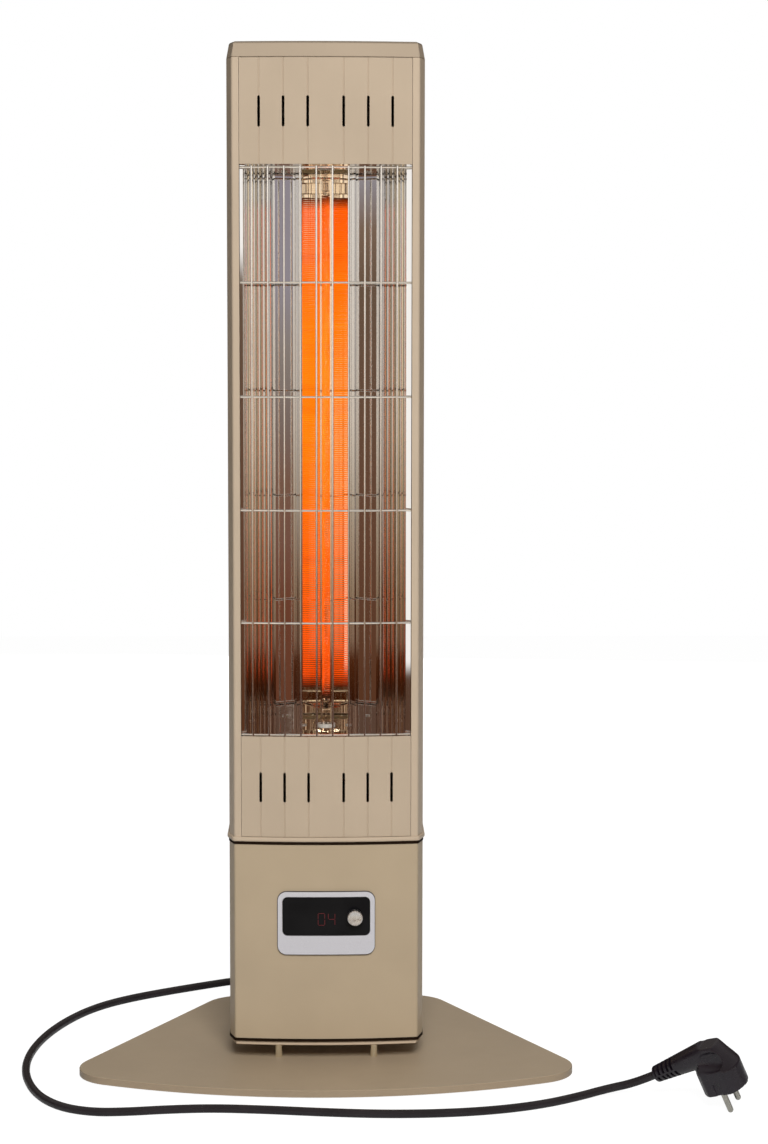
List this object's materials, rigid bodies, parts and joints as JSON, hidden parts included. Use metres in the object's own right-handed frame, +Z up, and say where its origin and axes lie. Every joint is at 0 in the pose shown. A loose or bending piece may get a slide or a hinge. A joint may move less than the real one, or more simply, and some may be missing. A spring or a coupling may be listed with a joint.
{
  "type": "infrared patio heater tower",
  "caption": "Slim free-standing infrared heater: a slotted column with a quartz lamp, bright reflector and wire guard on a control box and a wide low base plate, with a cord and plug.",
  "frame": {"origin": "on the floor under the middle of the base plate, at the underside of its pads", "axes": "+Z up, -Y towards the front where the lamp shines, +X to the right as seen from the front"},
  "size_m": [0.6055, 0.4401, 0.871],
  "materials": {
    "powder_coat_column": "satin taupe powder coat with a fine texture",
    "powder_coat_box": "satin taupe powder coat",
    "powder_coat_base": "satin taupe powder coat, a little darker",
    "gasket_rubber": "matt black",
    "stainless": "brushed stainless steel",
    "zinc_steel": "bright zinc plate",
    "rivet_aluminium": "plain",
    "bright_aluminium": "mirror-bright rolled sheet",
    "guard_chrome": "polished chrome plate",
    "quartz": "clear fused quartz",
    "hot_coil": "resistance coil, glowing orange in use",
    "quartz_seal": "pressed quartz and foil",
    "ceramic": "glazed steatite ceramic",
    "bezel_silver": "satin silver",
    "window_black": "near-black glossy window",
    "knob_silver": "bright knurled",
    "board_green": "solder-masked board",
    "component_black": "moulded black",
    "encoder_metal": "plated steel",
    "sink_aluminium": "extruded",
    "nylon_white": "moulded nylon",
    "cord_black": "matt black cable sheath",
    "plug_black": "matt black moulding",
    "plug_metal": "nickel plate",
    "silicone_lead": "glass-braided silicone",
    "harness_sleeve": "sleeved bundle"
  },
  "bodies": {
    "root": {"base_nuts": "zinc_steel", "base_pads": "gasket_rubber", "base_plate": "powder_coat_base", "bezel": "bezel_silver", "board_harness": "harness_sleeve", "board_posts": "nylon_white", "board_screws": "zinc_steel", "bottom_cover": "powder_coat_box", "bottom_gasket": "gasket_rubber", "column_casing": "powder_coat_column", "column_flange": "powder_coat_column", "column_gasket": "gasket_rubber", "control_board": "board_green", "control_box": "powder_coat_box", "countersunk_screws": "zinc_steel", "display_module": "component_black", "display_window": "window_black", "encoder_body": "encoder_metal", "front_guard": "guard_chrome", "heat_sink": "sink_aluminium", "heating_coil": "hot_coil", "holder_brackets": "zinc_steel", "lamp_bushings": "ceramic", "lamp_holders": "ceramic", "lamp_seals": "quartz_seal", "lamp_tube": "quartz", "lead_grommet": "gasket_rubber", "lower_lamp_lead": "silicone_lead", "lower_panel": "powder_coat_column", "mains_lead": "cord_black", "pan_head_screws": "zinc_steel", "plug_body": "plug_black", "plug_earth_strips": "plug_metal", "plug_pins": "plug_metal", "power_board": "board_green", "power_cord": "cord_black", "power_relay": "component_black", "reflector": "bright_aluminium", "reflector_brackets": "zinc_steel", "reflector_ceiling": "bright_aluminium", "reflector_floor": "bright_aluminium", "relief_nut": "plug_black", "rivets": "rivet_aluminium", "standoffs": "stainless", "strain_relief": "cord_black", "supply_transformer": "component_black", "terminal_block": "nylon_white", "thermal_cutout": "encoder_metal", "tilt_bracket": "zinc_steel", "tilt_microswitch": "component_black", "tilt_pin": "zinc_steel", "top_cap": "powder_coat_column", "triac": "component_black", "upper_lamp_lead": "silicone_lead", "upper_panel": "powder_coat_column"},
    "push": {"encoder_push_pad": "component_black"},
    "knob": {"knob": "knob_silver", "encoder_shaft": "encoder_metal"},
    "pendulum": {"tilt_pendulum": "zinc_steel"}
  },
  "joints": [
    {"name": "knob_push", "type": "slide", "parent": "root", "child": "push", "axis": [0, 1, 0], "range_m": [0, 0.0006], "stiffness_N_per_m": 3000, "springref_m": -0.0004},
    {"name": "knob_turn", "type": "hinge", "parent": "push", "child": "knob", "pos_m": [0.0245, -0.06, 0.13475], "axis": [0, -1, 0], "continuous": true},
    {"name": "tilt_pendulum_swing", "type": "hinge", "parent": "root", "child": "pendulum", "pos_m": [-0.05, -0.012, 0.0651], "axis": [1, 0, 0], "range_deg": [-25, 25]}
  ]
}
